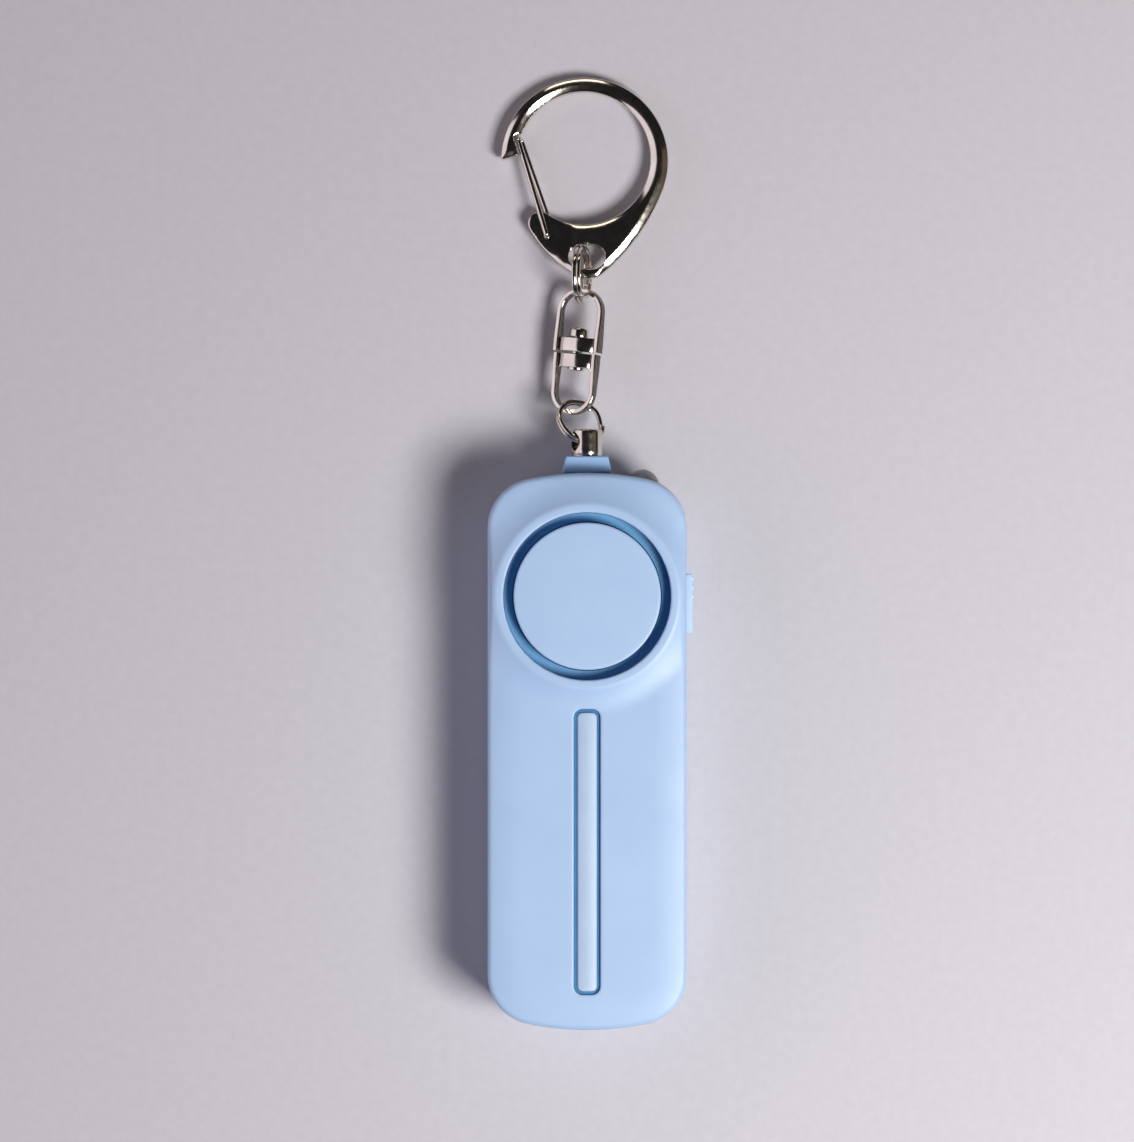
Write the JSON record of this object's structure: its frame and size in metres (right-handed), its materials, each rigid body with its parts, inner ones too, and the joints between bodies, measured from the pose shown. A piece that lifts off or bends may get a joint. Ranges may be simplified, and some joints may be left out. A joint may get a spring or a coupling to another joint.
{
  "type": "personal safety alarm",
  "caption": "Slim pocket alarm with a round siren cover, a frosted light bar, a side slide switch and a pull-pin on a swivel key clip.",
  "frame": {"origin": "centre of the flat back face of the case", "axes": "+Y along the case towards the pull-pin and key clip, +Z out of the front face, +X towards the side switch"},
  "size_m": [0.0312, 0.1448, 0.0162],
  "materials": {
    "case_blue": "smooth satin moulding",
    "pin_blue": "smooth satin moulding",
    "grille_dark": "gloss moulding",
    "bar_frost": "frosted diffuser",
    "led_clear": "clear cast epoxy",
    "nickel": "polished nickel plate",
    "steel": "zinc plated",
    "contact_brass": "rolled strip",
    "board_green": "solder mask",
    "board_white": "white solder mask",
    "chip_black": "moulded epoxy",
    "ferrite": "sintered ferrite with winding",
    "piezo_white": "silvered ceramic",
    "cell_jacket": "printed-free metallic jacket",
    "wire_red": "insulated wire",
    "wire_black": "insulated wire",
    "can_dark": "sleeved can"
  },
  "bodies": {
    "case": {"front_shell": "case_blue", "rear_shell": "case_blue", "battery_door": "case_blue", "battery_door_screw": "steel", "case_screws": "steel", "siren_cap": "case_blue", "siren_grille": "grille_dark", "siren_holder": "chip_black", "piezo_plate": "contact_brass", "piezo_ceramic": "piezo_white", "piezo_leads": "wire_red", "light_bar": "bar_frost", "light_bar_board": "board_white", "light_bar_leds": "bar_frost", "light_bar_leads": "wire_black", "torch_led": "led_clear", "torch_led_leads": "steel", "main_board": "board_green", "board_screws": "steel", "alarm_chip": "chip_black", "driver_transistor": "chip_black", "boost_transformer": "ferrite", "buffer_capacitor": "can_dark", "slide_switch_body": "steel", "contact_block": "chip_black", "contact_fixed": "contact_brass", "battery_cells": "cell_jacket", "battery_springs": "steel", "battery_contacts": "steel", "battery_leads": "wire_red"},
    "pin": {"pin_plug": "pin_blue", "pin_shank": "nickel", "pin_ferrule": "nickel"},
    "light_switch": {"light_switch_knob": "case_blue"},
    "leaf": {"contact_leaf": "contact_brass"},
    "lower_ring": {"lower_split_ring": "nickel"},
    "swivel_base": {"swivel_lower_link": "nickel", "swivel_rivet": "nickel"},
    "swivel_head": {"swivel_upper_link": "nickel"},
    "upper_ring": {"upper_split_ring": "nickel"},
    "clip": {"clip_frame": "nickel"},
    "gate": {"clip_gate": "nickel"}
  },
  "joints": [
    {"name": "pin_pull", "type": "slide", "parent": "case", "child": "pin", "axis": [0, 1, 0], "range_m": [0, 0.022]},
    {"name": "contact_close", "type": "hinge", "parent": "case", "child": "leaf", "pos_m": [0.0015, 0.0206, 0.0075], "axis": [0, 0, 1], "range_deg": [0, 7]},
    {"name": "light_switch_slide", "type": "slide", "parent": "case", "child": "light_switch", "axis": [0, 1, 0], "range_m": [0, 0.0022]},
    {"name": "lower_ring_swing", "type": "hinge", "parent": "pin", "child": "lower_ring", "pos_m": [0, 0.04685, 0.0075], "axis": [0.866, 0, -0.5], "range_deg": [-40, 70]},
    {"name": "swivel_swing", "type": "hinge", "parent": "lower_ring", "child": "swivel_base", "pos_m": [-0.00228, 0.05144, 0.00449], "axis": [-0.9175, 0.0753, -0.3906], "range_deg": [-35, 25]},
    {"name": "swivel_spin", "type": "hinge", "parent": "swivel_base", "child": "swivel_head", "pos_m": [-0.00145, 0.0605, 0.0043], "axis": [0.0906, 0.9957, -0.0209], "continuous": true},
    {"name": "upper_ring_swing", "type": "hinge", "parent": "swivel_head", "child": "upper_ring", "pos_m": [-0.00059, 0.07001, 0.0041], "axis": [-0.9744, 0, -0.225], "range_deg": [-35, 35]},
    {"name": "clip_swing", "type": "hinge", "parent": "upper_ring", "child": "clip", "pos_m": [-0.00075, 0.07245, 0.00448], "axis": [0.9744, 0, 0.225], "range_deg": [-20, 110]},
    {"name": "gate_open", "type": "hinge", "parent": "clip", "child": "gate", "pos_m": [-0.0061, 0.07838, 0.00236], "axis": [0, -0.0454, -0.999], "range_deg": [0, 25], "stiffness_Nm_per_rad": 0.02, "springref_deg": -17.19}
  ],
  "couplings": [
    {"joint": "contact_close", "follows": "pin_pull", "rad_per_m": 5.55}
  ]
}
